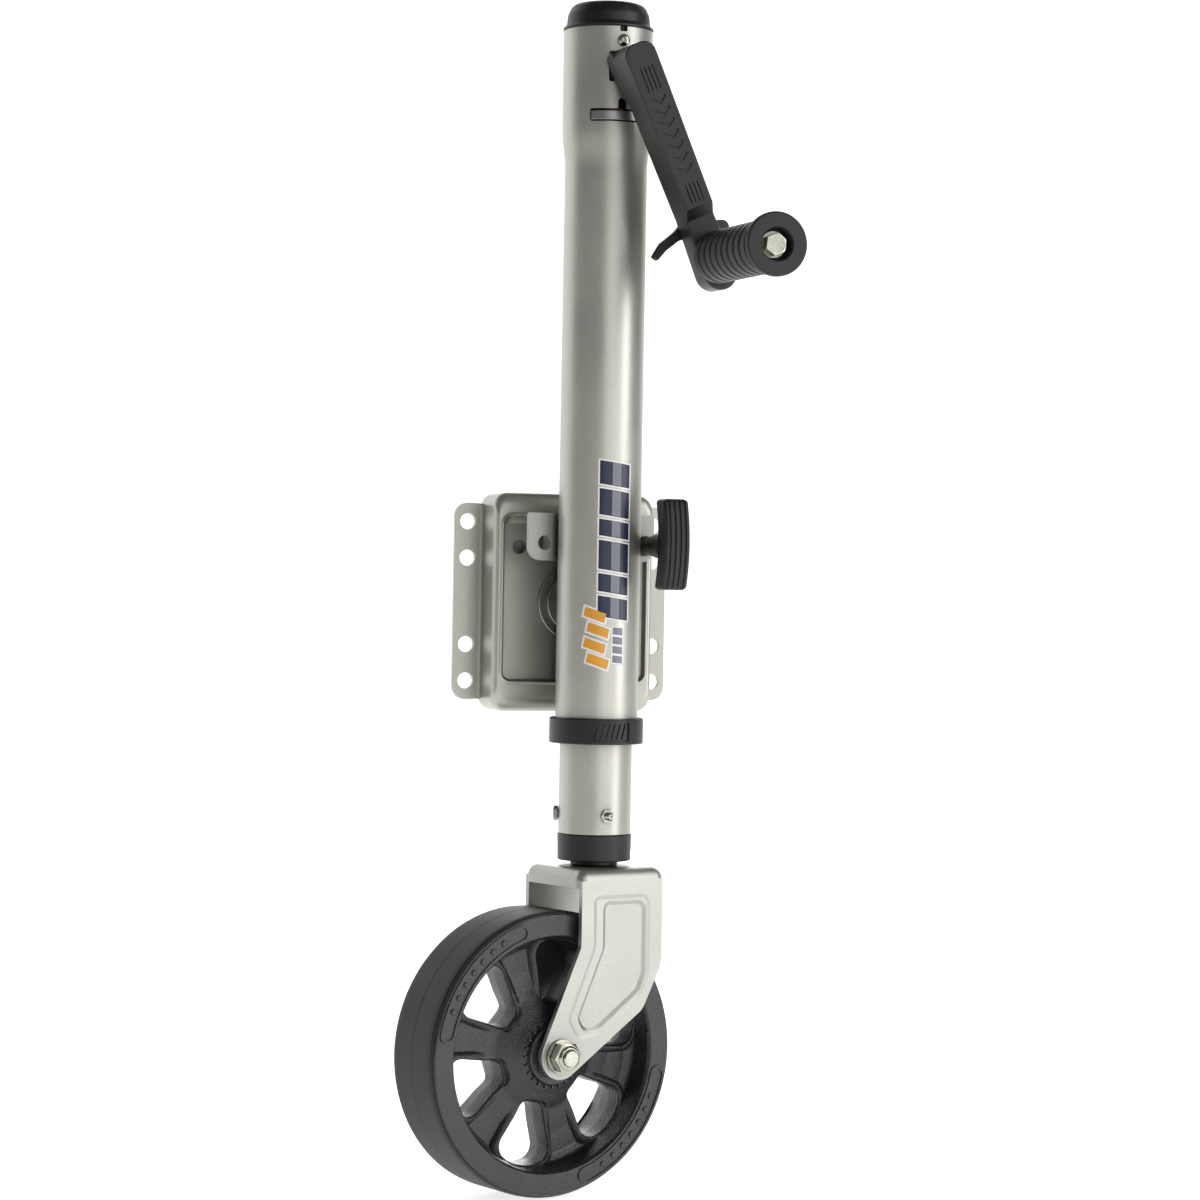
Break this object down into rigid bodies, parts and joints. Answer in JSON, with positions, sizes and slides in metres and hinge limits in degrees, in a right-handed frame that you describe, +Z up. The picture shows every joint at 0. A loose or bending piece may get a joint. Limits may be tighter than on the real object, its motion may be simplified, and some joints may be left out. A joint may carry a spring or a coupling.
{
  "type": "tongue jack stand",
  "caption": "Bolt-on swing-up trailer tongue jack with side crank, telescoping screw lift, sprung lock pin and swivelling caster wheel.",
  "frame": {"origin": "centre of the eight frame bolt holes, in the plane of the bracket flanges' back faces", "axes": "+Z up along the jack's tube, -Y forwards from the trailer frame towards the crank grip, +X to the right seen from the front"},
  "size_m": [0.2394, 0.268, 0.8664],
  "materials": {
    "silver_paint": "satin metallic silver paint, slightly warm, fine flake",
    "bright_zinc": "bright zinc plated pressed steel",
    "zinc_hardware": "zinc plated fasteners",
    "plain_steel": "oiled machined steel",
    "black_plastic": "black moulded plastic, satin",
    "grip_rubber": "black ribbed grip",
    "wheel_plastic": "black moulded plastic, fine texture",
    "tyre": "brown-black tread band",
    "bronze": "sintered bronze",
    "nylon": "natural nylon"
  },
  "bodies": {
    "bracket": {"frame_bracket": "silver_paint"},
    "tube": {"outer_tube": "silver_paint", "tube_cap": "black_plastic", "cap_screw": "zinc_hardware", "upper_collar": "black_plastic", "swivel_saddle": "bright_zinc", "pivot_post": "bright_zinc", "pivot_bearing_washer": "bright_zinc", "pivot_wave_washer": "plain_steel", "pivot_retaining_ring": "plain_steel", "bearing_plate": "bright_zinc", "thrust_washer": "plain_steel", "thrust_bearing": "bronze", "rear_bush": "bronze", "front_bearing_block": "plain_steel", "pin_spring": "plain_steel"},
    "pull": {"pull_handle": "black_plastic", "pull_pin": "bright_zinc", "pin_clip": "plain_steel"},
    "screw": {"lead_screw": "plain_steel", "bevel_gear": "plain_steel", "gear_roll_pin": "plain_steel"},
    "lift": {"inner_tube": "silver_paint", "lead_nut": "bronze", "guide_ring": "nylon", "stem_bush": "bronze", "lower_collar": "black_plastic", "grease_fitting": "zinc_hardware", "stem_set_screw": "plain_steel"},
    "crank": {"crank_arm": "black_plastic", "crank_shaft": "plain_steel", "drive_pinion": "plain_steel", "shaft_circlip": "plain_steel", "crank_roll_pin": "plain_steel", "grip_bolt": "zinc_hardware", "grip_nut": "zinc_hardware", "grip_washer": "zinc_hardware", "grip_sleeve": "plain_steel", "latch_pin": "zinc_hardware"},
    "grip": {"crank_grip": "grip_rubber"},
    "latch": {"storage_latch": "black_plastic"},
    "caster": {"caster_fork": "bright_zinc", "caster_stem": "plain_steel", "stem_retainer": "plain_steel", "swivel_washer": "black_plastic", "axle_bolt": "zinc_hardware", "axle_nut": "zinc_hardware", "axle_washer": "zinc_hardware", "axle_sleeve": "plain_steel", "axle_spacer_near": "nylon", "axle_spacer_far": "nylon"},
    "wheel": {"wheel_hub": "wheel_plastic", "tyre": "tyre", "wheel_bush_near": "bronze", "wheel_bush_far": "bronze"}
  },
  "joints": [
    {"name": "tube_swing", "type": "hinge", "parent": "bracket", "child": "tube", "pos_m": [0, 0, 0], "axis": [0, -1, 0], "range_deg": [0, 90]},
    {"name": "lock_pin_pull", "type": "slide", "parent": "tube", "child": "pull", "axis": [0, -1, 0], "range_m": [0, 0.014], "stiffness_N_per_m": 1500, "springref_m": -0.006, "deforming": ["pin_spring"]},
    {"name": "crank_turn", "type": "hinge", "parent": "tube", "child": "crank", "pos_m": [0, -0.088, 0.389], "axis": [0, 1, 0], "range_deg": [0, 21600]},
    {"name": "screw_spin", "type": "hinge", "parent": "tube", "child": "screw", "pos_m": [0, -0.088, 0.2], "axis": [0, 0, 1], "range_deg": [0, 14400]},
    {"name": "lift", "type": "slide", "parent": "tube", "child": "lift", "axis": [0, 0, -1], "range_m": [0, 0.254]},
    {"name": "grip_spin", "type": "hinge", "parent": "crank", "child": "grip", "pos_m": [0.06142, -0.088, 0.25105], "axis": [0, -1, 0], "continuous": true},
    {"name": "latch_tilt", "type": "hinge", "parent": "crank", "child": "latch", "pos_m": [0.05125, -0.129, 0.27389], "axis": [0, -1, 0], "range_deg": [0, 18], "stiffness_Nm_per_rad": 0.3, "springref_deg": -14.32},
    {"name": "caster_swivel", "type": "hinge", "parent": "lift", "child": "caster", "pos_m": [0, -0.088, -0.19], "axis": [0, 0, 1], "continuous": true},
    {"name": "wheel_spin", "type": "hinge", "parent": "caster", "child": "wheel", "pos_m": [-0.04926, -0.1012, -0.3243], "axis": [0.2588, -0.9659, 0], "continuous": true}
  ],
  "couplings": [
    {"joint": "screw_spin", "follows": "crank_turn", "ratio": 0.66667},
    {"joint": "lift", "follows": "crank_turn", "m_per_rad": 0.00067376}
  ]
}
